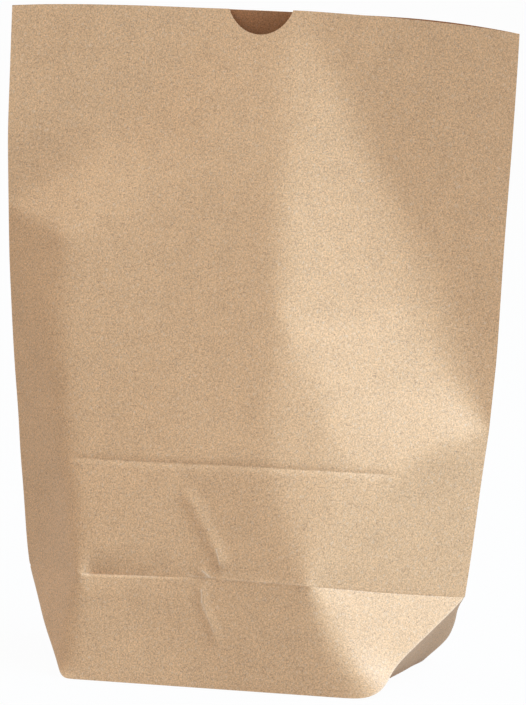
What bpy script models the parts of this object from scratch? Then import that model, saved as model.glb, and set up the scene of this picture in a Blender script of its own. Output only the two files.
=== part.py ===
"""A brown paper lunch bag with a folded cross bottom, standing open on its base.

One sheet of kraft paper makes the whole bag. It is rolled into a flat tube and glued along the back,
its lower end is squared into a hexagon and folded under, two flaps are glued over each other there,
and a thumb notch is cut in the front of the mouth.

Metres, +Z up. The origin is the middle of the base on the surface that the bag stands on. The front,
with the notch, looks along -Y. A place on a panel is given as it is on the flat paper: across from the
left side crease as the front is seen, and up from the base's long edge.
"""

import bmesh
import bpy
import numpy as np
from mathutils import Vector
from mathutils.geometry import delaunay_2d_cdt

# Driving sizes of the paper
TUBE_WIDTH = 0.220  # across the flat tube, from side crease to side crease
BASE_DEPTH = 0.092  # the base from front to back; what is left of the tube's width is its length
PANEL_HEIGHT = 0.277  # paper from the base's long edges to the mouth
PAPER = 0.00012  # one sheet of kraft paper
FLAP_LAP = 0.018  # how far the two bottom flaps lie over each other
FOLD_INSET = 0.0006  # a glued flap stops this far inside the folded edge
NOTCH_WIDTH = 0.029
NOTCH_DEPTH = 0.010
NOTCH_CENTRE = 0.1085  # across the front panel
BACK_DIP = 0.004  # the back edge of the mouth dips below the front edge in its middle

# How the standing bag has opened
LEFT_TIP_OUT = 0.0285  # the folded corners lean out this far beyond the base, until their tips
RIGHT_TIP_OUT = 0.030
MOUTH_BACK = 0.022  # the flat mouth stands this far behind the middle of the base
MOUTH_GAP = 0.013  # clear space between the front and the back of the mouth
RIGHT_KINK = 0.114  # height on the paper where the right side crease buckles
LEFT_KINK = 0.194  # and the left one
LEFT_DENT = 0.049  # places across where the lower crease caves in
RIGHT_DENT = 0.151

HALF_DEPTH = BASE_DEPTH / 2
BASE_LENGTH = TUBE_WIDTH - BASE_DEPTH
HALF_LENGTH = BASE_LENGTH / 2
FLOOR = 2 * PAPER  # the floor sheet lies on two layers of flap

KRAFT = (0.56, 0.37, 0.225)
SUBDIVISIONS = 2
SHARP = 1.0
PRESSED = 0.9
SOFT = 0.5


def up(share):
    """Height on the paper of a soft fold, as a share of the way from the upper crease to the mouth."""
    return BASE_DEPTH + share * (PANEL_HEIGHT - BASE_DEPTH)


def front_folds():
    """Fold points of the front: across, up, and how far the paper stands in front of the side creases.

    The stand is a share of half the base's depth, so 1 is straight above the base's front edge.
    """
    right = TUBE_WIDTH
    lower = HALF_DEPTH
    upper = BASE_DEPTH
    return [
        (HALF_DEPTH, 0, 1.0),
        (right / 2, 0, 1.0),
        (right - HALF_DEPTH, 0, 1.0),
        (LEFT_DENT, lower, 0.62),
        (right / 2, lower, 0.68),
        (RIGHT_DENT, lower, 0.74),
        (HALF_DEPTH, upper, 0.54),
        (0.42 * right, upper, 0.62),
        (0.58 * right, upper, 0.67),
        (0.72 * right, upper, 0.60),
        (0.82 * right, upper, 0.42),
        (0.16 * right, up(0.23), 0.44),
        (0.38 * right, up(0.29), 0.50),
        (0.70 * right, up(0.16), 0.55),
        (0.595 * right, up(0.33), 0.55),
        (0.83 * right, up(0.33), 0.14),
        (0.885 * right, up(0.18), 0.10),
        (0.885 * right, up(0.42), -0.06),
        (0.145 * right, up(0.49), 0.24),
        (0.40 * right, up(0.655), 0.20),
        (0.575 * right, up(0.61), 0.35),
        (0.78 * right, up(0.68), -0.03),
        (0.10 * right, up(0.77), -0.02),
        (0.67 * right, up(0.90), 0.03),
        (0.565 * right, up(0.89), 0.10),
        (0.19 * right, PANEL_HEIGHT, 0.0),
        (0.42 * right, PANEL_HEIGHT, 0.02),
        (0.57 * right, PANEL_HEIGHT, 0.08),
        (0.77 * right, PANEL_HEIGHT, 0.03),
    ]


def back_folds():
    """Fold points of the back, across, up and stand behind the side creases.

    The fold along the base still pulls the back inwards, so it dishes between two soft ridges.
    """
    gap = MOUTH_GAP / HALF_DEPTH
    rows = [
        (0, 1.0, 1.0),
        (HALF_DEPTH, 0.82, 0.67),
        (BASE_DEPTH, 0.74, 0.54),
        (up(0.28), 0.58, 0.43),
        (up(0.57), 0.42, 0.35),
        (up(0.80), 0.30, 0.31),
        (PANEL_HEIGHT, 0.20, gap),
    ]
    ridge = HALF_DEPTH
    points = []
    for height, ridge_stand, dish_stand in rows:
        for across in (ridge, TUBE_WIDTH / 2, TUBE_WIDTH - ridge):
            middle = across == TUBE_WIDTH / 2
            dip = BACK_DIP if middle and height == PANEL_HEIGHT else 0
            points.append((across, height - dip, dish_stand if middle else ridge_stand))
    return points


def side_heights():
    """Heights on the side creases where a fold runs out, from the base to the mouth."""
    return [0, HALF_DEPTH, BASE_DEPTH, RIGHT_KINK, up(0.28), up(0.43), LEFT_KINK, up(0.71), PANEL_HEIGHT]


def side_depth(height):
    """The side creases rise from the middle of the base's ends and lean back to the mouth."""
    return MOUTH_BACK * max(0, height - HALF_DEPTH) / (PANEL_HEIGHT - HALF_DEPTH)


def net_of(folds):
    """Triangles between the fold points of one panel, lying flat, with its creases kept as edges."""
    flat = [(across, height) for across, height, _ in folds]
    flat += [(across, height) for across in (0, TUBE_WIDTH) for height in side_heights()]
    place = {point: index for index, point in enumerate(flat)}
    creases = [
        ((HALF_DEPTH, 0), (0, HALF_DEPTH)),
        ((TUBE_WIDTH - HALF_DEPTH, 0), (TUBE_WIDTH, HALF_DEPTH)),
    ]
    kept = [(place[start], place[end]) for start, end in creases]
    _, _, faces, _, _, _ = delaunay_2d_cdt([Vector(point) for point in flat], kept, [], 0, 1e-9)
    return flat, faces


def fold_point(across, height, depth):
    """A key that both panels share for a point of their common side crease or of the base."""
    return round(across, 7), round(height, 7), depth


def open_bag():
    """Every fold point's place in space, and the triangles between them.

    The depths are known. Where a point stands sideways and upwards follows from the paper, which
    doesn't stretch: each edge of the net keeps its flat length.
    """
    points = {}
    faces = []
    edges = {}
    for side, folds in ((-1, front_folds()), (1, back_folds())):
        flat, triangles = net_of(folds)
        stands = {(across, height): stand for across, height, stand in folds}
        names = []
        for across, height in flat:
            on_crease = across in (0, TUBE_WIDTH)
            stand = stands.get((across, height), 0)
            name = fold_point(across, height, 0 if on_crease else side)
            names.append(name)
            points[name] = (across, height, side_depth(height) + side * stand * HALF_DEPTH)
        for triangle in triangles:
            corners = [names[index] for index in triangle]
            faces.append(corners if side < 0 else corners[::-1])
            for start, end in zip(corners, corners[1:] + corners[:1]):
                key = tuple(sorted((start, end)))
                edges[key] = np.hypot(points[start][0] - points[end][0], points[start][1] - points[end][1])
    names = list(points)
    order = {name: index for index, name in enumerate(names)}
    start = np.array([order[key[0]] for key in edges])
    end = np.array([order[key[1]] for key in edges])
    length = np.array(list(edges.values()))
    across, height, depth = np.array([points[name] for name in names]).T
    place = np.column_stack([across - TUBE_WIDTH / 2, depth, height + FLOOR])
    held = height == 0
    place[held, 0] = np.clip(place[held, 0], -HALF_LENGTH, HALF_LENGTH)
    for edge_across, side, out in ((0, -1, LEFT_TIP_OUT), (TUBE_WIDTH, 1, RIGHT_TIP_OUT)):
        tip = (across == edge_across) & (height == HALF_DEPTH)
        rise = np.sqrt(HALF_DEPTH**2 - out**2)
        place[tip] = (side * (HALF_LENGTH + out), 0, FLOOR + rise)
        held |= tip
    return names, keep_lengths(place, start, end, length, ~held), faces


def keep_lengths(place, start, end, length, free):
    """Move the free points sideways and upwards until every edge has its length on the paper."""
    column = np.full(len(place), -1)
    column[free] = np.arange(free.sum())
    rows = np.arange(len(start))
    for _ in range(30):
        span = place[start] - place[end]
        measured = np.linalg.norm(span, axis=1)
        pull = np.zeros((len(start), 2 * free.sum()))
        for axis, offset in ((0, 0), (2, free.sum())):
            slope = span[:, axis] / measured
            for ends, sign in ((start, 1), (end, -1)):
                moved = column[ends] >= 0
                pull[rows[moved], offset + column[ends[moved]]] += sign * slope[moved]
        step = np.linalg.lstsq(pull, length - measured, rcond=1e-6)[0]
        place[free, 0] += step[: free.sum()]
        place[free, 2] += step[free.sum() :]
    return place


def crease_of(first, second):
    """How sharp the fold between two fold points is."""
    (across_a, height_a, side_a), (across_b, height_b, side_b) = first, second
    side = side_a or side_b
    if height_a == height_b == 0:
        return SHARP
    if across_a == across_b and side == 0:
        return SHARP if min(height_a, height_b) >= round(HALF_DEPTH, 7) else 0
    on_diagonal = {round(HALF_DEPTH, 7), round(TUBE_WIDTH - HALF_DEPTH, 7)}
    ends = sorted(((height_a, across_a, side_a), (height_b, across_b, side_b)))
    if ends[0][0] == 0 and ends[0][1] in on_diagonal and ends[1][2] == 0 and ends[1][0] > 0:
        return SHARP
    if side < 0 and height_a == height_b == round(HALF_DEPTH, 7):
        return PRESSED
    if side < 0 and height_a == height_b == round(BASE_DEPTH, 7):
        return SOFT
    return 0


def paper_material():
    """Brown kraft paper, matt with a faint machine gloss."""
    material = bpy.data.materials.new("brown_kraft")
    material.use_nodes = True
    shader = material.node_tree.nodes["Principled BSDF"]
    shader.inputs["Base Color"].default_value = (*KRAFT, 1)
    shader.inputs["Roughness"].default_value = 0.55
    shader.inputs["Metallic"].default_value = 0.0
    return material


def make_object(name, mesh, collection):
    """An object of this mesh in the collection, with its own place in the mesh."""
    thing = bpy.data.objects.new(name, mesh)
    collection.objects.link(thing)
    return thing


def bag_shell(collection):
    """The tube with its floor, as folded paper, softened between the folds and given its thickness."""
    names, place, faces = open_bag()
    mesh = bpy.data.meshes.new("paper_bag")
    sheet = bmesh.new()
    sharpness = sheet.edges.layers.float.new("crease_edge")
    corner = {name: sheet.verts.new(place[index]) for index, name in enumerate(names)}
    name_of = {vertex: name for name, vertex in corner.items()}
    for triangle in faces:
        sheet.faces.new([corner[name] for name in triangle])
    rim = [edge for edge in sheet.edges if all(name_of[vertex][1] == 0 for vertex in edge.verts)]
    floor = bmesh.ops.contextual_create(sheet, geom=rim)["faces"]
    sheet.normal_update()
    bmesh.ops.reverse_faces(sheet, faces=[face for face in floor if face.normal.z > 0])
    for edge in sheet.edges:
        edge[sharpness] = crease_of(name_of[edge.verts[0]], name_of[edge.verts[1]])
    sheet.to_mesh(mesh)
    sheet.free()
    bag = make_object("paper_bag", mesh, collection)
    mesh.materials.append(paper_material())

    soften = bag.modifiers.new("soft_bends", "SUBSURF")
    soften.levels = SUBDIVISIONS
    soften.render_levels = SUBDIVISIONS
    wall = bag.modifiers.new("paper_thickness", "SOLIDIFY")
    wall.thickness = PAPER
    wall.offset = -1
    wall.use_even_offset = True
    return bag


def bottom_flap(name, side, lowest, collection):
    """One of the two glued flaps under the floor: a trapezoid whose slanted ends run at 45 degrees."""
    reach = HALF_DEPTH + FLAP_LAP / 2
    highest = FLOOR + PAPER / 2
    bpy.ops.mesh.primitive_cube_add(size=1)
    flap = bpy.context.object
    flap.name = name
    for other in flap.users_collection:
        other.objects.unlink(flap)
    collection.objects.link(flap)
    for vertex in flap.data.vertices:
        outer = vertex.co.y > 0
        width = BASE_LENGTH if outer else BASE_LENGTH - 2 * reach
        vertex.co.x *= width - 2 * FOLD_INSET
        vertex.co.y = side * (HALF_DEPTH - FOLD_INSET) if outer else side * (HALF_DEPTH - reach)
        vertex.co.z = highest if vertex.co.z > 0 else lowest
    if side < 0:
        flap.data.flip_normals()
    return flap


def notch_cutter(collection):
    """A round punch that takes the thumb notch out of the front of the mouth and clears the back."""
    radius = (NOTCH_WIDTH**2 / 4 + NOTCH_DEPTH**2) / (2 * NOTCH_DEPTH)
    stroke = HALF_DEPTH
    bpy.ops.mesh.primitive_cylinder_add(vertices=48, radius=radius, depth=stroke)
    punch = bpy.context.object
    punch.name = "notch_punch"
    for other in punch.users_collection:
        other.objects.unlink(punch)
    collection.objects.link(punch)
    punch.rotation_euler.x = np.pi / 2
    return punch, radius, stroke


def join(target, tool, operation):
    """Cut or join with a hidden helper object, which stays out of the model."""
    tool.hide_render = True
    tool.display_type = "WIRE"
    modifier = target.modifiers.new(tool.name, "BOOLEAN")
    modifier.object = tool
    modifier.operation = operation
    modifier.solver = "EXACT"
    modifier.use_self = True


def build():
    """The whole bag in a collection of its own, with its flaps and the notch punch in another."""
    for thing in list(bpy.data.objects):
        bpy.data.objects.remove(thing, do_unlink=True)
    scene = bpy.context.scene.collection
    model = bpy.data.collections.new("paper_lunch_bag")
    helpers = bpy.data.collections.new("flaps_and_cutters")
    scene.children.link(model)
    scene.children.link(helpers)

    bag = bag_shell(model)
    join(bag, bottom_flap("back_flap", 1, 0, helpers), "UNION")
    join(bag, bottom_flap("front_flap", -1, PAPER, helpers), "UNION")
    punch, radius, stroke = notch_cutter(helpers)
    mouth = max(vertex.co.z for vertex in bag.data.vertices)
    punch.location = (
        NOTCH_CENTRE - TUBE_WIDTH / 2,
        MOUTH_BACK + 0.6 * MOUTH_GAP - stroke / 2,
        mouth - NOTCH_DEPTH + radius,
    )
    join(bag, punch, "DIFFERENCE")


build()
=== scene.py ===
"""A brown paper lunch bag, standing open on its folded cross bottom.

Metres, +Z up, the front with the thumb notch along -Y. A place on the paper is given as it lies on the flat
tube: across from the left side crease as the front is seen, and up from the base's long edges.
"""

from math import atan2, cos, radians, sin, tau

import bmesh
import bpy
import numpy as np
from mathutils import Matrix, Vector
from mathutils.geometry import delaunay_2d_cdt
from mathutils.noise import noise


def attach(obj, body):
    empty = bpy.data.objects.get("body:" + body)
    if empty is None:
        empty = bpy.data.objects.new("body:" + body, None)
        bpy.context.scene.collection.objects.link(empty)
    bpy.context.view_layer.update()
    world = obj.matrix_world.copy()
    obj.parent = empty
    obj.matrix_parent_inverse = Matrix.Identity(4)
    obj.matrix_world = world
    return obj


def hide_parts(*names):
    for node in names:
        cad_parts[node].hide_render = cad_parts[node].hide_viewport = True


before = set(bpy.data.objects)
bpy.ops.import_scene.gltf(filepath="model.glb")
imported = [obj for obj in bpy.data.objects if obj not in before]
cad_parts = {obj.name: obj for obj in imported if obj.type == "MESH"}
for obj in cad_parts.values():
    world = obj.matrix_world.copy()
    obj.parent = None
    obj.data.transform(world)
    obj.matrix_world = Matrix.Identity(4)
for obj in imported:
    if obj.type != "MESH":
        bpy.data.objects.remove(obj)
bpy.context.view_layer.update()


# The folds. A flat tube of kraft paper is squared off at its lower end and opened up on its base.
# The folds that were pressed in the making stay sharp, and between them the paper bends softly where
# it was pushed open. Paper doesn't stretch, so every line between two fold points keeps its length.

TUBE_WIDTH = 0.220
BASE_DEPTH = 0.092
PANEL_HEIGHT = 0.277
PAPER = 0.00012
HALF_DEPTH = BASE_DEPTH / 2
HALF_LENGTH = (TUBE_WIDTH - BASE_DEPTH) / 2
FLOOR = 2 * PAPER
LEFT_TIP_OUT = 0.0272
RIGHT_TIP_OUT = 0.0300
MOUTH_BACK = 0.022
LEFT_DENT = 0.0493
RIGHT_DENT = 0.1510
LEFT_KINK = 0.1938
RIGHT_KINK = 0.1141

# Across, up, and how far the paper stands before the middle of the bag, as a share of half the base's depth
FRONT_FOLDS = {
    "base left": (HALF_DEPTH, 0, 1.0),
    "base middle": (TUBE_WIDTH / 2, 0, 1.0),
    "base right": (TUBE_WIDTH - HALF_DEPTH, 0, 1.0),
    "left dent": (LEFT_DENT, HALF_DEPTH, 0.801),
    "lower crease": (0.1020, HALF_DEPTH, 0.847),
    "right dent": (RIGHT_DENT, HALF_DEPTH, 0.936),
    "crease left": (0.0374, BASE_DEPTH, 0.533),
    "crease middle": (0.0919, BASE_DEPTH, 0.728),
    "crease hip": (0.1302, BASE_DEPTH, 0.829),
    "crease right": (0.1582, BASE_DEPTH, 0.717),
    "crease end": (0.1809, BASE_DEPTH, 0.520),
    "strip low": (0.0310, 0.1341, 0.419),
    "panel low": (0.0783, 0.1435, 0.456),
    "cone low": (0.1488, 0.1208, 0.662),
    "cone elbow": (0.1296, 0.1538, 0.577),
    "right hollow": (0.1844, 0.1616, 0.138),
    "kink hollow": (0.2020, 0.1359, 0.078),
    "cone edge low": (0.1923, 0.1754, 0.070),
    "strip top": (0.0303, 0.1808, 0.280),
    "wedge end": (0.0887, 0.2136, 0.268),
    "cone left": (0.1265, 0.2085, 0.373),
    "cone edge": (0.1637, 0.2157, 0.091),
    "left top": (0.0197, 0.2347, 0.049),
    "cone edge high": (0.1447, 0.2522, 0.154),
    "cone top": (0.1227, 0.2573, 0.177),
    "wedge top": (0.0426, 0.2224, 0.011),
    "wedge foot": (0.0640, 0.1987, 0.266),
    "kink fold": (0.1990, 0.1047, 0.300),
    "mouth left": (0.0429, PANEL_HEIGHT, 0.017),
    "notch left": (0.0915, PANEL_HEIGHT, -0.046),
    "notch right": (0.1245, PANEL_HEIGHT, 0.097),
    "mouth right": (0.1698, PANEL_HEIGHT, 0.177),
}

# The soft folds that run from point to point
FRONT_LINES = [
    ["base left", "left dent", "crease left", "strip low", "strip top", "left kink"],
    ["left kink", "wedge top", "wedge end", "wedge foot", "strip top"],
    ["strip low", "left side"],
    ["base right", "right dent", "crease right", "cone low", "cone elbow", "cone left", "cone top"],
    ["right dent", "crease hip", "cone elbow"],
    ["crease hip", "panel low", "cone left", "right hollow"],
    ["cone edge high", "cone edge", "cone edge low", "right kink", "kink fold", "crease end", "kink hollow"],
    ["base middle", "left dent"],
]

# The back, which dishes between two soft ridges: left ridge, middle and right ridge at each height
BACK_FOLDS = {}
for level, height, left, middle, right, dip in (
    ("base", 0, 1.0, 1.0, 1.0, 0),
    ("low", HALF_DEPTH, 0.806, 0.554, 0.703, 0),
    ("crease", BASE_DEPTH, 0.625, 0.342, 0.554, 0),
    ("middle", 0.1438, 0.482, 0.277, 0.366, 0),
    ("high", 0.1975, 0.341, 0.421, 0.244, 0),
    ("neck", 0.2400, 0.100, 0.264, 0.136, 0),
    ("mouth", PANEL_HEIGHT, 0.113, 0.128, -0.001, 0.002),
):
    BACK_FOLDS[f"{level} left"] = (HALF_DEPTH, height, left)
    BACK_FOLDS[f"{level} middle"] = (TUBE_WIDTH / 2, height - dip, middle)
    BACK_FOLDS[f"{level} right"] = (TUBE_WIDTH - HALF_DEPTH, height, right)

# The side creases: across, up and how far back each point stands
SIDE_FOLDS = {
    "left base": (0, 0, 0),
    "left tip": (0, HALF_DEPTH, 0),
    "left crease end": (0, BASE_DEPTH, 0.0028),
    "left low": (0, 0.1140, 0.0050),
    "left middle": (0, 0.1438, 0.0078),
    "left side": (0, 0.1716, 0.0098),
    "left kink": (0, LEFT_KINK, 0.0132),
    "left high": (0, 0.2234, 0.0136),
    "left mouth": (0, PANEL_HEIGHT, 0.0218),
    "right base": (TUBE_WIDTH, 0, 0),
    "right tip": (TUBE_WIDTH, HALF_DEPTH, 0),
    "right crease end": (TUBE_WIDTH, BASE_DEPTH, 0.0041),
    "right kink": (TUBE_WIDTH, RIGHT_KINK, 0.0059),
    "right middle": (TUBE_WIDTH, 0.1438, 0.0082),
    "right side": (TUBE_WIDTH, 0.1716, 0.0090),
    "right high": (TUBE_WIDTH, 0.1940, 0.0100),
    "right neck": (TUBE_WIDTH, 0.2234, 0.0112),
    "right mouth": (TUBE_WIDTH, PANEL_HEIGHT, 0.0124),
}


def flat_net(folds, lines):
    """One panel's fold points as they lie flat, and the triangles between them, with its folds kept."""
    points = {**folds, **SIDE_FOLDS}
    names = list(points)
    corners = [["base left", "left tip"], ["base right", "right tip"]]
    runs = [pair for line in lines + corners for pair in zip(line, line[1:])]
    kept = [(names.index(start), names.index(end)) for start, end in runs]
    flat = np.array([points[name][:2] for name in names])
    _, _, triangles, _, _, _ = delaunay_2d_cdt([Vector(point) for point in flat], kept, [], 0, 1e-9)
    return names, flat, triangles


def keep_lengths(place, start, end, length, free):
    """Move the free fold points sideways and upwards until every line has its length on the paper."""
    count = free.sum()
    column = np.full(len(place), -1)
    column[free] = np.arange(count)
    rows = np.arange(len(start))
    for _ in range(30):
        span = place[start] - place[end]
        measured = np.linalg.norm(span, axis=1)
        pull = np.zeros((len(start), 2 * count))
        for axis, offset in ((0, 0), (2, count)):
            for ends, sign in ((start, 1), (end, -1)):
                moved = column[ends] >= 0
                pull[rows[moved], offset + column[ends[moved]]] += sign * (span[:, axis] / measured)[moved]
        step = np.linalg.solve(pull.T @ pull + 1e-7 * np.eye(2 * count), pull.T @ (length - measured))
        place[free, 0] += step[:count]
        place[free, 2] += step[count:]


order = {}
places = []
edges = {}
nets = {}
for side, folds, lines in ((-1, FRONT_FOLDS, FRONT_LINES), (1, BACK_FOLDS, [])):
    names, flat, triangles = flat_net(folds, lines)
    keys = [name if name in SIDE_FOLDS else (side, name) for name in names]
    for key, name, (across, height) in zip(keys, names, flat):
        if key in order:
            continue
        lean = MOUTH_BACK * max(0, height - HALF_DEPTH) / (PANEL_HEIGHT - HALF_DEPTH)
        depth = SIDE_FOLDS[name][2] if name in SIDE_FOLDS else lean + side * folds[name][2] * HALF_DEPTH
        order[key] = len(places)
        places.append((across - TUBE_WIDTH / 2, depth, height + FLOOR))
    spots = [order[key] for key in keys]
    for triangle in triangles:
        for start, end in zip(triangle, (*triangle[1:], triangle[0])):
            edges[tuple(sorted((spots[start], spots[end])))] = np.linalg.norm(flat[start] - flat[end])
    nets[side] = (flat, triangles, spots)

place = np.array(places)
held = place[:, 2] == FLOOR
place[held, 0] = np.clip(place[held, 0], -HALF_LENGTH, HALF_LENGTH)
for name, side, out in (("left tip", -1, LEFT_TIP_OUT), ("right tip", 1, RIGHT_TIP_OUT)):
    place[order[name]] = (side * (HALF_LENGTH + out), 0, FLOOR + np.sqrt(HALF_DEPTH**2 - out**2))
    held[order[name]] = True
starts, ends = np.array(list(edges)).T
keep_lengths(place, starts, ends, np.array(list(edges.values())), ~held)


# The sheet between the folds, on a fine grid whose lines run along the pressed creases. It is rounded
# as paper is where it was only pushed, and the creases, dents and crumples of its use are pressed in.

CORNER_CELLS = 34
MIDDLE_CELLS = 94
UPPER_CELLS = 132
COLUMNS = 2 * CORNER_CELLS + MIDDLE_CELLS
ROWS = 2 * CORNER_CELLS + UPPER_CELLS
across_lines = np.interp(
    np.arange(COLUMNS + 1),
    [0, CORNER_CELLS, COLUMNS - CORNER_CELLS, COLUMNS],
    [0, HALF_DEPTH, TUBE_WIDTH - HALF_DEPTH, TUBE_WIDTH],
)
height_lines = np.interp(
    np.arange(ROWS + 1), [0, CORNER_CELLS, 2 * CORNER_CELLS, ROWS], [0, HALF_DEPTH, BASE_DEPTH, PANEL_HEIGHT]
)
ACROSS, HEIGHT = np.meshgrid(across_lines, height_lines)


def on_net(flat, triangles, spots):
    """Every grid point's place on the folded net."""
    sheet = np.zeros((*ACROSS.shape, 3))
    best = np.full(ACROSS.shape, -np.inf)
    for triangle in triangles:
        a, b, c = flat[list(triangle)]
        to_local = np.linalg.inv(np.column_stack([b - a, c - a]))
        local = np.stack([ACROSS - a[0], HEIGHT - a[1]], -1) @ to_local.T
        shares = np.stack([1 - local.sum(-1), local[..., 0], local[..., 1]], -1)
        inside = shares.min(-1) > best
        sheet[inside] = shares[inside] @ place[[spots[index] for index in triangle]]
        best[inside] = shares.min(-1)[inside]
    return sheet


def soften_line(line, softness, rounds):
    """Round a line's corners along its own run, its ends held."""
    for _ in range(rounds):
        middle = (line[:-2] + line[2:]) / 2
        line[1:-1] += softness[1:-1, None] * 0.5 * (middle - line[1:-1])


def soften_sheet(sheet, softness, rounds):
    """Round the folds of the sheet, by as much as the softness at each point allows."""
    for _ in range(rounds):
        around = sheet[:-2, 1:-1] + sheet[2:, 1:-1] + sheet[1:-1, :-2] + sheet[1:-1, 2:]
        sheet[1:-1, 1:-1] += softness[1:-1, 1:-1, None] * 0.5 * (around / 4 - sheet[1:-1, 1:-1])
        mouth = (sheet[-1, :-2] + sheet[-1, 2:]) / 2
        sheet[-1, 1:-1] += softness[-1, 1:-1, None] * 0.5 * (mouth - sheet[-1, 1:-1])


def near(across, height, reach):
    """One at this place on the paper, falling away to nothing over about twice the reach."""
    return np.exp(-((ACROSS - across) ** 2 + (HEIGHT - height) ** 2) / reach**2)


def corner_folds():
    """Where the sheet is folded from a base corner to its tip."""
    left = np.isclose(ACROSS + HEIGHT, HALF_DEPTH, rtol=0, atol=1e-7)
    return left | np.isclose(TUBE_WIDTH - ACROSS + HEIGHT, HALF_DEPTH, rtol=0, atol=1e-7)


ROUNDED_CELLS = 14
UNDER_CELLS = 5


def round_corner(sheet, side, rounds):
    """Round off a base corner, where the folded corner runs out into the base's long edge."""
    steps = np.arange(ROUNDED_CELLS)
    corner = CORNER_CELLS if side < 0 else COLUMNS - CORNER_CELLS
    rows = np.concatenate([steps[:0:-1], 0 * steps])
    columns = np.concatenate([corner + side * steps[:0:-1], corner - side * steps])
    line = sheet[rows, columns]
    soften_line(line, np.ones(len(line)), rounds)
    pulled = (line - sheet[rows, columns])[steps[-1] :: -1]
    sheet[rows, columns] = line
    # The paper that is folded under there goes with the fold
    for aside in steps[1:]:
        sheet[steps, corner + side * (steps + aside)] += pulled * np.exp(-((aside / UNDER_CELLS) ** 2))


front = on_net(*nets[-1])
back = on_net(*nets[1])
side_softness = np.clip(1 - 0.9 * np.exp(-((height_lines - RIGHT_KINK) ** 2) / 0.006**2), 0, 1)
for column in (0, -1):
    crease = front[:, column].copy()
    soften_line(crease[CORNER_CELLS:], side_softness[CORNER_CELLS:], 40)
    front[:, column] = crease
    back[:, column] = crease
DENT_REACH = 0.004
dents = np.exp(-((across_lines - LEFT_DENT) ** 2) / DENT_REACH**2)
dents += np.exp(-((across_lines - RIGHT_DENT) ** 2) / DENT_REACH**2)
soften_line(front[CORNER_CELLS], np.clip(1 - dents, 0, 1), 12)
round_corner(front, 1, 22)
round_corner(front, -1, 5)
round_corner(back, 1, 10)
round_corner(back, -1, 6)

softness = np.ones(ACROSS.shape)
for across, height, reach, hold in (
    (LEFT_DENT, HALF_DEPTH, 0.012, 0.85),
    (RIGHT_DENT, HALF_DEPTH, 0.012, 0.85),
    (TUBE_WIDTH, RIGHT_KINK, 0.022, 0.9),
    (0, LEFT_KINK, 0.022, 0.9),
    (0.0303, 0.1808, 0.012, 0.7),
    (0.1296, 0.1538, 0.010, 0.7),
):
    softness -= hold * near(across, height, reach)
softness = np.clip(softness, 0.05, 1)
softness[corner_folds()] = 0
back_softness = softness.copy()
softness[CORNER_CELLS] = 0
soften_sheet(front, softness, 60)
soften_sheet(back, back_softness, 160)

# Finer lines beside the pressed creases, and beside the side creases to meet them at the folded corners
BESIDE = np.array([0.0004, 0.0009])
fine_across = np.sort(np.concatenate([across_lines, BESIDE, TUBE_WIDTH - BESIDE]))
beside_creases = [HALF_DEPTH - BESIDE, HALF_DEPTH + BESIDE, BASE_DEPTH - BESIDE, BASE_DEPTH + BESIDE]
fine_height = np.sort(np.concatenate([height_lines, *beside_creases]))


def finer(sheet):
    """The same sheet on the finer lines."""
    row = np.interp(fine_height, height_lines, np.arange(ROWS + 1))
    column = np.interp(fine_across, across_lines, np.arange(COLUMNS + 1))
    low_row = np.minimum(row.astype(int), ROWS - 1)
    low_column = np.minimum(column.astype(int), COLUMNS - 1)
    row_part = (row - low_row)[:, None, None]
    column_part = (column - low_column)[None, :, None]
    between = sheet[low_row] * (1 - row_part) + sheet[low_row + 1] * row_part
    return between[:, low_column] * (1 - column_part) + between[:, low_column + 1] * column_part


front = finer(front)
back = finer(back)
COLUMNS = len(fine_across) - 1
ROWS = len(fine_height) - 1
LOWER_CREASE = int(np.argmin(abs(fine_height - HALF_DEPTH)))
ACROSS, HEIGHT = np.meshgrid(fine_across, fine_height)

# The paper has settled on its base: the creases sit a little askew and the mouth's edge bows upwards
MM = 0.001
lower_set = MM * np.interp(
    fine_across / MM, [0, 52, 83, 100, 130, 183, 215, 220], [0, -3.0, -2.1, -1.5, -1.3, -1.4, -0.6, 0]
)
upper_set = MM * np.interp(
    fine_across / MM, [0, 34, 91, 113, 143, 159, 181, 220], [0, -1.6, -1.4, -0.9, -0.5, 0.1, 1.0, 0]
)
mouth_set = 2.4 * MM * (1 - (fine_across / (TUBE_WIDTH / 2) - 1) ** 4)
for column in range(COLUMNS + 1):
    front[:, column, 2] += np.interp(
        fine_height,
        [0, HALF_DEPTH, BASE_DEPTH, 0.150, 0.225, PANEL_HEIGHT],
        [0, lower_set[column], upper_set[column], 0, 0, mouth_set[column]],
    )
    back_set = mouth_set[column] * np.interp(fine_across[column], [0, TUBE_WIDTH], [0.2, 1.1])
    back[:, column, 2] += np.interp(fine_height, [0.225, PANEL_HEIGHT], [0, back_set])


def settle(places):
    """Push the paper where use has moved it. Each push is a place, how far it moves and its reach."""
    moved = places.copy()
    for place, push, reach in (
        ((64, 46, 0), (6, -8, 0), 24),
        ((82, 22, 18), (3.6, -1, 0), 15),
        ((74, 31, 9), (2.4, -0.4, -0.4), 11),
        ((65, 10, 0), (2.4, 0, 0), 18),
        ((64, -46, 0), (4.6, 0, 0), 14),
        ((73, -41, 4), (1.8, 0, 0), 9),
        ((94, 0, 40), (1.4, 0, 0), 45),
        ((-91, 0, 37), (-2.2, 0, 0), 26),
        ((-78, -24, 18), (-1.2, 0, 0), 16),
        ((-97, 4, 92), (1.1, 0, 0), 26),
        ((106, 12, 268), (1.6, 0, 0), 70),
    ):
        closeness = np.exp(-((places - MM * np.array(place)) ** 2).sum(-1, keepdims=True) / (MM * reach) ** 2)
        moved += closeness * MM * np.array(push)
    return moved


front = settle(front)
back = settle(back)


def outwards(sheet, side):
    """The direction away from the bag's inside at every point of a panel."""
    normal = -side * np.cross(np.gradient(sheet, axis=1), np.gradient(sheet, axis=0))
    return normal / np.linalg.norm(normal, axis=-1, keepdims=True)


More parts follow.
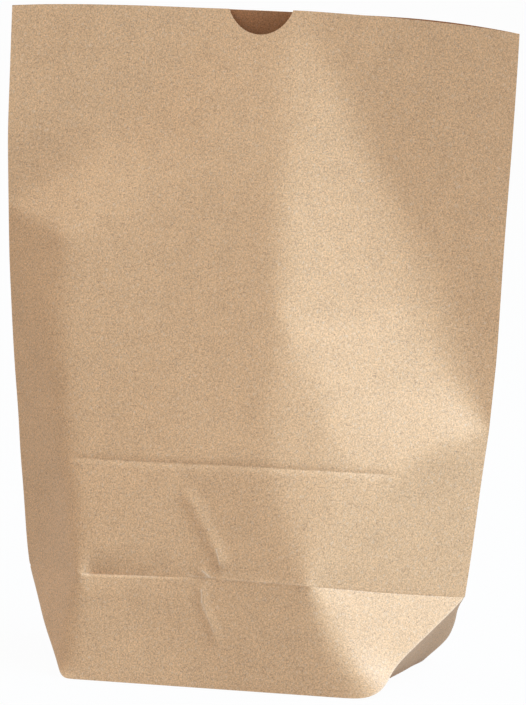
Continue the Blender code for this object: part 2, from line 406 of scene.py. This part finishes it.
def away_from(points):
    """Distance on the paper from every grid point to a line through these places."""
    nearest = np.full(ACROSS.shape, np.inf)
    for start, end in zip(np.array(points), np.array(points[1:])):
        run = end - start
        share = np.clip(((ACROSS - start[0]) * run[0] + (HEIGHT - start[1]) * run[1]) / (run @ run), 0, 1)
        gap = np.hypot(ACROSS - start[0] - share * run[0], HEIGHT - start[1] - share * run[1])
        nearest = np.minimum(nearest, gap)
    return nearest


# The pressed upper crease is a shallow groove
relief = np.zeros(ACROSS.shape)
crease_run = np.clip((ACROSS - 0.036) / 0.010, 0, 1) * np.clip((0.186 - ACROSS) / 0.012, 0, 1)
relief -= 0.30 * MM * crease_run * np.exp(-(((HEIGHT - BASE_DEPTH) / 0.0013) ** 2))

# The lower crease has caved in at its left, with a narrow ledge under it
cave_run = np.interp(ACROSS, [0.0505, 0.055, 0.070, 0.088, 0.106], [0, 1, 0.75, 0.35, 0])
above = np.clip(1 - (HEIGHT - HALF_DEPTH) / 0.013, 0, 1) ** 2
ledge_foot = HALF_DEPTH - BESIDE[-1]
below = 0.45 * np.clip(1 - (ledge_foot - HEIGHT) / 0.009, 0, 1) ** 2
ledge = np.interp(HEIGHT, [ledge_foot, HALF_DEPTH], [0.45, 1])
cave = np.where(HEIGHT >= HALF_DEPTH, above, np.where(HEIGHT <= ledge_foot, below, ledge))
relief -= 2.1 * MM * cave_run * cave

# A small crumple in the middle, of short ridges that meet the lower crease
for points, width, rise in (
    (
        [(0.0966, 0.0776), (0.1006, 0.0717), (0.1041, 0.0658), (0.1091, 0.0581), (0.1116, 0.0534)],
        0.0030,
        0.72,
    ),
    ([(0.1099, 0.0582), (0.1120, 0.0520)], 0.0013, 0.34),
    (
        [(0.1043, 0.0413), (0.1046, 0.0358), (0.1062, 0.0321), (0.1105, 0.0249), (0.1112, 0.0208)],
        0.0020,
        0.62,
    ),
    ([(0.1030, 0.0485), (0.1070, 0.0468)], 0.0014, 0.46),
    ([(0.1075, 0.0490), (0.1080, 0.0460)], 0.0013, -0.40),
    ([(0.1120, 0.0462), (0.1490, 0.0462)], 0.0010, 0.12),
):
    relief += rise * MM * np.exp(-((away_from(points) / width) ** 2))

# Kraft paper is never quite flat
for row in range(ROWS + 1):
    for column in range(COLUMNS + 1):
        spot = Vector((fine_across[column], fine_height[row], 0))
        relief[row, column] += MM * (0.060 * noise(spot / 0.015) + 0.018 * noise(spot / 0.006))
rim = np.minimum(np.minimum(ACROSS, TUBE_WIDTH - ACROSS), HEIGHT)
relief *= np.clip(rim / 0.004, 0, 1)
front += relief[..., None] * outwards(front, -1)


# Kraft paper, machine glazed: brown, cloudy where the fibres lie thicker, with a fine grain, scattered
# darker and paler fibres and a broad low sheen. Pale lines are painted along the corner folds and the crumple
# as painted highlights, and the pressed grooves are painted darker as painted shade. Its inner side is left
# unglazed, so it is duller, and it is painted a deeper brown as painted shade inside the bag. The map is the
# flat sheet.

kraft = bpy.data.materials.new("brown_kraft")
kraft.use_nodes = True


class Wire:
    """A shader socket that plain arithmetic can be written with."""

    tree = kraft.node_tree

    def __init__(self, socket):
        self.socket = socket

    @classmethod
    def of(cls, kind, inputs, output=0, **settings):
        """Any node, its inputs given as values or as wires."""
        node = cls.tree.nodes.new(kind)
        for name, value in settings.items():
            setattr(node, name, value)
        for key, value in inputs.items():
            if isinstance(value, Wire):
                cls.tree.links.new(value.socket, node.inputs[key])
            else:
                node.inputs[key].default_value = value
        return Wire(node.outputs[output])

    def maths(self, operation, other=0, turned=False, **settings):
        """A maths node of this wire and another, or of the other and this one when turned."""
        pair = (other, self) if turned else (self, other)
        return Wire.of("ShaderNodeMath", dict(enumerate(pair)), operation=operation, **settings)

    def __add__(self, other):
        return self.maths("ADD", other)

    def __sub__(self, other):
        return self.maths("SUBTRACT", other)

    def __mul__(self, other):
        return self.maths("MULTIPLY", other)

    def __truediv__(self, other):
        return self.maths("DIVIDE", other)

    def __rtruediv__(self, other):
        return self.maths("DIVIDE", other, turned=True)

    def __pow__(self, other):
        return self.maths("POWER", other)

    __radd__ = __add__


# Millimetres on the flat sheet
flat_map = Wire.of("ShaderNodeUVMap", {}, uv_map="sheet")
paper = Wire.of("ShaderNodeVectorMath", {0: flat_map, "Scale": 1000}, operation="SCALE")
over = Wire.of("ShaderNodeSeparateXYZ", {0: paper}, 0)
upwards_on = Wire.of("ShaderNodeSeparateXYZ", {0: paper}, 1)


def mottle(size, detail, vector=paper):
    """Soft blotches of about this size in millimetres, around zero."""
    inputs = {"Vector": vector, "Scale": 1 / size, "Detail": detail}
    return Wire.of("ShaderNodeTexNoise", inputs, noise_dimensions="2D") - 0.5


def fibres(turn, length, width, shift, share):
    """Scattered fibres that lie one way, one on each fibre and nothing between them."""
    inputs = {"Vector": paper, "Location": (shift, shift, 0)}
    inputs |= {"Rotation": (0, 0, turn), "Scale": (length, width, 1)}
    lying = Wire.of("ShaderNodeMapping", inputs, vector_type="TEXTURE")
    return (mottle(1, 0, lying) - share).maths("MULTIPLY", 14, use_clamp=True)


def pressed(start, end, width):
    """One along a fine line on the paper between two places, given in millimetres, and nothing beside it."""
    run_across, run_up = end[0] - start[0], end[1] - start[1]
    length = run_across**2 + run_up**2
    share = ((over - start[0]) * (run_across / length)) + ((upwards_on - start[1]) * (run_up / length))
    share = share.maths("ADD", 0, use_clamp=True)
    aside = over - start[0] - share * run_across
    along = upwards_on - start[1] - share * run_up
    return 1 / (1 + (aside * aside + along * along) / width**2) ** 2


cloud = mottle(9, 2)
grain = mottle(1.1, 2)
fine_grain = mottle(0.6, 1)
dark_fibres = fibres(0.3, 2.6, 0.34, 3, 0.265) + fibres(1.4, 2.2, 0.34, 17, 0.270)
dark_fibres += fibres(2.5, 2.4, 0.34, 41, 0.270)
pale_fibres = fibres(0.9, 2.4, 0.40, 71, 0.225) + fibres(2.0, 2.2, 0.40, 97, 0.225)

# A pale line painted along each corner fold where it catches the light: a painted highlight
side_way = over.maths("PINGPONG", TUBE_WIDTH * 500)
corner_away = (side_way + upwards_on - HALF_DEPTH * 1000).maths("ABSOLUTE") / 0.9
fold_highlight = 1 / (1 + corner_away * corner_away) ** 2
fold_highlight = fold_highlight * upwards_on.maths("LESS_THAN", HALF_DEPTH * 1000 + 1)

# Thin lines on the lower crease and the crumple's ridges, raised a little in the bump and painted paler as
# painted highlights
raised_highlit_lines = pressed((52.5, 46), (84, 46), 0.45) * 0.5
raised_highlit_lines += pressed((98, 46.6), (110, 46.6), 0.35) * 0.6
raised_highlit_lines += pressed((112, 46.2), (150, 46.2), 0.35) * 0.3
raised_highlit_lines += pressed((109.9, 58), (111.8, 52), 0.35)
raised_highlit_lines += pressed((104.3, 41), (104.6, 36), 0.35)
raised_highlit_lines += pressed((104, 49), (107, 47), 0.50)
raised_highlit_lines += pressed((104.6, 36), (110.5, 24), 0.6) * 0.5
# The upper crease and the right of the lower crease, sunk a little in the bump and painted darker as painted
# shade
shaded_grooves = pressed((45, 92), (180, 92), 0.55) + pressed((151, 46), (214, 46), 0.45) * 0.7

LAP_START, LAP_END = 321, 336.6
lapped = over.maths("GREATER_THAN", LAP_START) * over.maths("LESS_THAN", LAP_END)
inside_unglazed_and_shaded = Wire.of("ShaderNodeAttribute", {}, 2, attribute_name="inner side")
# The tone is darker along the grooves as painted shade, and a little darker on the lap from its glue
tone = 1 + cloud * 0.16 + grain * 0.44 + fine_grain * 0.90 - lapped * 0.04 - shaded_grooves * 0.08
KRAFT_BROWN = (0.64, 0.368, 0.182)
DARK_FIBRE = (0.30, 0.165, 0.085, 1)
PALE_FIBRE_AND_HIGHLIGHT = (0.70, 0.50, 0.33, 1)
INSIDE_PAINTED_SHADE = (0.80, 0.62, 0.52, 1)
brown = Wire.of("ShaderNodeVectorMath", {0: KRAFT_BROWN, "Scale": tone}, operation="SCALE")
# Real dark and pale fibres, then the painted highlights along the corner folds and the fine lines
for amount, colour in (
    ((dark_fibres * 0.55), DARK_FIBRE),
    ((pale_fibres * 0.40), PALE_FIBRE_AND_HIGHLIGHT),
    ((fold_highlight * 0.45), PALE_FIBRE_AND_HIGHLIGHT),
    ((raised_highlit_lines * 0.60), PALE_FIBRE_AND_HIGHLIGHT),
):
    brown = Wire.of("ShaderNodeMix", {0: amount, 6: brown, 7: colour}, 2, data_type="RGBA", clamp_factor=True)
# The inner side is painted a deeper brown, as painted shade inside the bag
inside_shade = {0: inside_unglazed_and_shaded, 6: brown, 7: INSIDE_PAINTED_SHADE}
brown = Wire.of("ShaderNodeMix", inside_shade, 2, data_type="RGBA", blend_type="MULTIPLY")

height_map = cloud * 0.030 + grain * 0.018 + fine_grain * 0.010 + raised_highlit_lines * 0.06 - shaded_grooves * 0.06
bump = Wire.of("ShaderNodeBump", {"Height": height_map, "Distance": 0.001, "Strength": 1.0})
glaze = 0.58 + grain * 0.25 + inside_unglazed_and_shaded * 0.3

shader = kraft.node_tree.nodes["Principled BSDF"]
shader.inputs["Specular IOR Level"].default_value = 0.5
kraft.node_tree.links.new(brown.socket, shader.inputs["Base Color"])
kraft.node_tree.links.new(glaze.socket, shader.inputs["Roughness"])
kraft.node_tree.links.new(bump.socket, shader.inputs["Normal"])


# The bag itself: the front and back panels of the tube, and the floor sheet that the corner folds make.
# One sheet of paper 0.12 mm thick, its mouth cut straight across and notched for a thumb.

BACK_STEP = 2
bag_mesh = bpy.data.meshes.new("paper_bag_sheet")
sheet = bmesh.new()
sheet_map = sheet.loops.layers.uv.new("sheet")
fold_here = corner_folds()


def panel(places, step, side):
    """Add one panel from its grid of places."""
    before = len(sheet.verts)
    made = bmesh.ops.create_grid(sheet, x_segments=COLUMNS // step, y_segments=ROWS // step, size=1)
    if step > 1:
        border = {edge for vertex in made["verts"] for edge in vertex.link_edges if edge.is_boundary}
        bmesh.ops.subdivide_edges(sheet, edges=list(border), cuts=step - 1)
    sheet.verts.ensure_lookup_table()
    corners = sheet.verts[before:]
    faces = list(dict.fromkeys(face for vertex in corners for face in vertex.link_faces))
    spot = {}
    for vertex in corners:
        spot[vertex] = (round((vertex.co.x + 1) / 2 * COLUMNS), round((vertex.co.y + 1) / 2 * ROWS))
    for face in faces:
        for loop in face.loops:
            column, row = spot[loop.vert]
            across = fine_across[column]
            loop[sheet_map].uv = (across if side < 0 else 2 * TUBE_WIDTH - across, fine_height[row])
    for face in faces:
        turned = [vertex for vertex in face.verts if fold_here[spot[vertex][1], spot[vertex][0]]]
        if len(turned) == 2 and len(face.verts) == 4 and not sheet.edges.get(turned):
            bmesh.utils.face_split(face, *turned)
    for vertex, (column, row) in spot.items():
        vertex.co = places[row, column]
    for vertex in corners:
        for edge in vertex.link_edges:
            (column_a, row_a), (column_b, row_b) = (spot[end] for end in edge.verts)
            on_side = column_a == column_b and column_a in (0, COLUMNS) and min(row_a, row_b) >= LOWER_CREASE
            on_base = row_a == row_b == 0
            on_corner = fold_here[row_a, column_a] and fold_here[row_b, column_b]
            on_lower = side < 0 and row_a == row_b == LOWER_CREASE
            if on_side or on_base or on_corner or on_lower:
                edge.smooth = False
    if side > 0:
        faces = list(dict.fromkeys(face for vertex in corners for face in vertex.link_faces))
        bmesh.ops.reverse_faces(sheet, faces=faces)


panel(front, 1, -1)
panel(back, BACK_STEP, 1)
for face in sheet.faces:
    face.smooth = True
bmesh.ops.remove_doubles(sheet, verts=sheet.verts, dist=1e-6)
open_edges = [edge for edge in sheet.edges if edge.is_boundary]
base_rim = [edge for edge in open_edges if max(end.co.z for end in edge.verts) < HALF_DEPTH]
floor_face = bmesh.ops.contextual_create(sheet, geom=base_rim)["faces"]
sheet.normal_update()
bmesh.ops.reverse_faces(sheet, faces=[face for face in floor_face if face.normal.z > 0])
for edge in sheet.edges:
    if any(face in floor_face for face in edge.link_faces):
        edge.smooth = False
sheet.to_mesh(bag_mesh)
sheet.free()

bag = bpy.data.objects.new("paper_bag_sheet", bag_mesh)
bpy.context.scene.collection.objects.link(bag)
for _ in ("outer side", "inner side"):
    bag_mesh.materials.append(kraft)
wall = bag.modifiers.new("paper_thickness", "SOLIDIFY")
wall.thickness = PAPER
wall.offset = -1
wall.use_even_offset = True
wall.material_offset = 1

# The thumb notch, stamped out of the front with a knife that leaves a finely toothed edge
NOTCH_WIDTH = 0.029
NOTCH_DEPTH = 0.010
NOTCH_RADIUS = (NOTCH_WIDTH**2 / 4 + NOTCH_DEPTH**2) / (2 * NOTCH_DEPTH)
NOTCH_PLACES = (0.093, 0.1085, 0.124)
TEETH = 80
TOOTH_DEPTH = 0.008
PUNCH_START = -0.030
PUNCH_PAST = 0.0014
notch_columns = [np.argmin(abs(fine_across - place)) for place in NOTCH_PLACES]
mouth_left, mouth_middle, mouth_right = front[-1, notch_columns]
punch_mesh = bpy.data.meshes.new("notch_punch")
punch = bmesh.new()
bmesh.ops.create_circle(punch, cap_ends=True, segments=2 * TEETH, radius=NOTCH_RADIUS)
for vertex in punch.verts:
    tooth = round(atan2(vertex.co.y, vertex.co.x) / tau * 2 * TEETH) % 2
    reach = 1 + TOOTH_DEPTH * tooth
    across = mouth_middle[0] + vertex.co.x * reach
    upwards = mouth_middle[2] - NOTCH_DEPTH + NOTCH_RADIUS + vertex.co.y * reach
    vertex.co = (across, PUNCH_START, upwards)
grown = bmesh.ops.extrude_face_region(punch, geom=list(punch.faces))["geom"]
moved = [part for part in grown if isinstance(part, bmesh.types.BMVert)]
slant = (mouth_right[1] - mouth_left[1]) / (mouth_right[0] - mouth_left[0])
for vertex in moved:
    vertex.co.y = mouth_left[1] + slant * (vertex.co.x - mouth_left[0]) + PUNCH_PAST
bmesh.ops.recalc_face_normals(punch, faces=punch.faces)
punch.to_mesh(punch_mesh)
punch.free()
punch_piece = bpy.data.objects.new("notch_punch", punch_mesh)
bpy.context.scene.collection.objects.link(punch_piece)
notch = bag.modifiers.new("thumb_notch", "BOOLEAN")
notch.object = punch_piece
notch.operation = "DIFFERENCE"
notch.solver = "EXACT"
graph = bpy.context.evaluated_depsgraph_get()
cut_mesh = bpy.data.meshes.new_from_object(bag.evaluated_get(graph))
bag.modifiers.clear()
bag.data = cut_mesh
bpy.data.objects.remove(punch_piece)

# The inner side, unglazed and painted darker as shade, is marked on its faces, and sharp edges stay sharp
edged = bmesh.new()
edged.from_mesh(cut_mesh)
inner_side = edged.faces.layers.float.new("inner side")
for face in edged.faces:
    face[inner_side] = face.material_index
    face.material_index = 0
for edge in edged.edges:
    if edge.calc_face_angle(0) > radians(50):
        edge.smooth = False
edged.to_mesh(cut_mesh)
edged.free()
cut_mesh.materials.pop(index=1)

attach(bag, "root")
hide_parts("paper_bag")


# The glued layers: the long seam's lap up the back, the two bottom flaps that lie over each other under
# the floor, and the two corner layers that lie on the floor inside. All are the same sheet of paper.


def paper_layer(name, places, flat):
    """A layer of paper through a grid of places, its outer side facing away from what it is glued to."""
    rows, columns = places.shape[0] - 1, places.shape[1] - 1
    mesh = bpy.data.meshes.new(name)
    layer = bmesh.new()
    layer_map = layer.loops.layers.uv.new("sheet")
    bmesh.ops.create_grid(layer, x_segments=columns, y_segments=rows, size=1)
    spot = {}
    for vertex in layer.verts:
        spot[vertex] = (round((vertex.co.y + 1) / 2 * rows), round((vertex.co.x + 1) / 2 * columns))
    for face in layer.faces:
        face.smooth = True
        for loop in face.loops:
            loop[layer_map].uv = flat[spot[loop.vert]]
    for vertex, where in spot.items():
        vertex.co = places[where]
    layer.to_mesh(mesh)
    layer.free()
    mesh.materials.append(kraft)
    piece = bpy.data.objects.new(name, mesh)
    bpy.context.scene.collection.objects.link(piece)
    wall = piece.modifiers.new("paper_thickness", "SOLIDIFY")
    wall.thickness = 0.9 * PAPER
    wall.offset = -1
    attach(piece, "root")
    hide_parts("paper_bag")


# The seam's lap stands off by one sheet at its free edge and runs into the back at the other
SEAM_FROM, SEAM_TO = 0.103, 0.120
back_columns = np.arange(0, COLUMNS + 1, BACK_STEP)
lap_columns = [column for column in back_columns if SEAM_FROM < fine_across[column] < SEAM_TO][::-1]
lap_rows = np.arange(0, ROWS + 1, BACK_STEP)
lap_places = back[np.ix_(lap_rows, lap_columns)]
lap_share = np.clip(np.linspace(0, 2, len(lap_columns)), 0.02, 1)[None, :, None]
lap_places += outwards(back, 1)[np.ix_(lap_rows, lap_columns)] * PAPER * lap_share
lap_flat = np.stack(np.meshgrid(2 * TUBE_WIDTH - fine_across[lap_columns], fine_height[lap_rows]), -1)
paper_layer("back_seam_lap", lap_places, lap_flat)

# A flap's ends run at 45 degrees, and the back flap lies under the front one where they lap
FLAP_LAP = 0.018
FLAP_REACH = HALF_DEPTH + FLAP_LAP / 2
FLAP_START = 0.003
END_CUT = 0.012
for name, side, reaches, levels in (
    ("front_bottom_flap", -1, [FLAP_START, END_CUT, 0.020, 0.036, FLAP_REACH], [1, 1, 1, 1, 1]),
    ("back_bottom_flap", 1, [FLAP_START, END_CUT, 0.032, 0.036, FLAP_REACH], [1, 1, 1, 0, 0]),
):
    reach = np.array(reaches)[:, None]
    level = np.array(levels)[:, None] * PAPER
    width = side * (HALF_LENGTH - np.maximum(reach, END_CUT)) * np.linspace(-1, 1, 13)[None, :]
    depth = side * (HALF_DEPTH - reach) + 0 * width
    flap_places = settle(np.stack([width, depth, level + 0 * width], -1))
    flap_flat = np.stack([width + TUBE_WIDTH * (1 + side / 2), -reach + 0 * width], -1)
    paper_layer(name, flap_places, flap_flat)

LAYER_INNER, LAYER_OUTER = 0.009, 0.060
LAYER_HALF_DEPTH = 0.042
for name, side in (("left_corner_layer", -1), ("right_corner_layer", 1)):
    ends = np.sort(side * np.array([LAYER_INNER, LAYER_OUTER]))
    width, depth = np.meshgrid(np.linspace(*ends, 7), np.linspace(-LAYER_HALF_DEPTH, LAYER_HALF_DEPTH, 9))
    layer_places = settle(np.stack([width, depth, FLOOR + 2 * PAPER + 0 * width], -1))
    layer_flat = np.stack([depth + (0.6 + 0.2 * side), width], -1)
    paper_layer(name, layer_places, layer_flat)


# The studio: a plain floor that shows white and keeps a faint shadow, a soft cool light from the right
# and above, white surroundings, and a long lens from a little above and to the right.

BAG_MIDDLE = Vector((0, 0, 0.14))


def white_seen():
    """One for what the camera sees, also in or through a surface, and nothing for the light it gives."""
    seen = Wire.of("ShaderNodeLightPath", {}, "Is Camera Ray")
    for way in ("Is Glossy Ray", "Is Transmission Ray"):
        seen = seen.maths("MAXIMUM", Wire.of("ShaderNodeLightPath", {}, way))
    return seen


floor_mesh = bpy.data.meshes.new("studio_floor")
floor = bmesh.new()
bmesh.ops.create_grid(floor, x_segments=1, y_segments=1, size=6)
floor.to_mesh(floor_mesh)
floor.free()
floor_piece = bpy.data.objects.new("studio_floor", floor_mesh)
bpy.context.scene.collection.objects.link(floor_piece)

pale = bpy.data.materials.new("pale_floor")
pale.use_nodes = True
floor_mesh.materials.append(pale)
Wire.tree = pale.node_tree
pale_shader = pale.node_tree.nodes["Principled BSDF"]
pale_shader.inputs["Base Color"].default_value = (0.34, 0.34, 0.34, 1)
pale_shader.inputs["Roughness"].default_value = 1.0
pale_shader.inputs["Specular IOR Level"].default_value = 0.0
seen = white_seen()
white = Wire.of("ShaderNodeEmission", {"Color": (1, 1, 1, 1), "Strength": 1.0})
shown = Wire.of("ShaderNodeMixShader", {0: seen * 0.97, 1: Wire(pale_shader.outputs[0]), 2: white})
pale.node_tree.links.new(shown.socket, pale.node_tree.nodes["Material Output"].inputs["Surface"])

world = bpy.data.worlds.new("studio")
bpy.context.scene.world = world
world.use_nodes = True
Wire.tree = world.node_tree
seen = white_seen()
FILL = 0.84
surroundings = world.node_tree.nodes["Background"]
surroundings.inputs["Color"].default_value = (1, 1, 1, 1)
world.node_tree.links.new((FILL + seen * (1 - FILL)).socket, surroundings.inputs["Strength"])

lamp_data = bpy.data.lights.new("soft_light", "AREA")
lamp_data.shape = "DISK"
lamp_data.size = 1.2
lamp_data.energy = 51
lamp_data.color = (0.78, 1.20, 1.70)
lamp = bpy.data.objects.new("soft_light", lamp_data)
bpy.context.scene.collection.objects.link(lamp)
LAMP_AWAY = 2.0
turn, rise = radians(85.6), radians(51)
towards_lamp = Vector((sin(turn) * cos(rise), -cos(turn) * cos(rise), sin(rise)))
lamp.location = BAG_MIDDLE + LAMP_AWAY * towards_lamp
lamp.rotation_euler = towards_lamp.to_track_quat("Z", "Y").to_euler()

camera_data = bpy.data.cameras.new("camera")
camera_data.lens = 310
camera_data.sensor_width = 36
camera = bpy.data.objects.new("camera", camera_data)
bpy.context.scene.collection.objects.link(camera)
CAMERA_AWAY = 2.5
AIM_RIGHT = 0.00844
AIM_DOWN = 0.00794
turn, rise = radians(16.9), radians(10.2)
backwards = Vector((sin(turn) * cos(rise), -cos(turn) * cos(rise), sin(rise)))
sideways = Vector((cos(turn), sin(turn), 0))
upwards = backwards.cross(sideways)
camera.location = BAG_MIDDLE + CAMERA_AWAY * backwards + AIM_RIGHT * sideways - AIM_DOWN * upwards
camera.rotation_euler = backwards.to_track_quat("Z", "Y").to_euler()
bpy.context.scene.camera = camera

bpy.context.scene.view_settings.view_transform = "Standard"
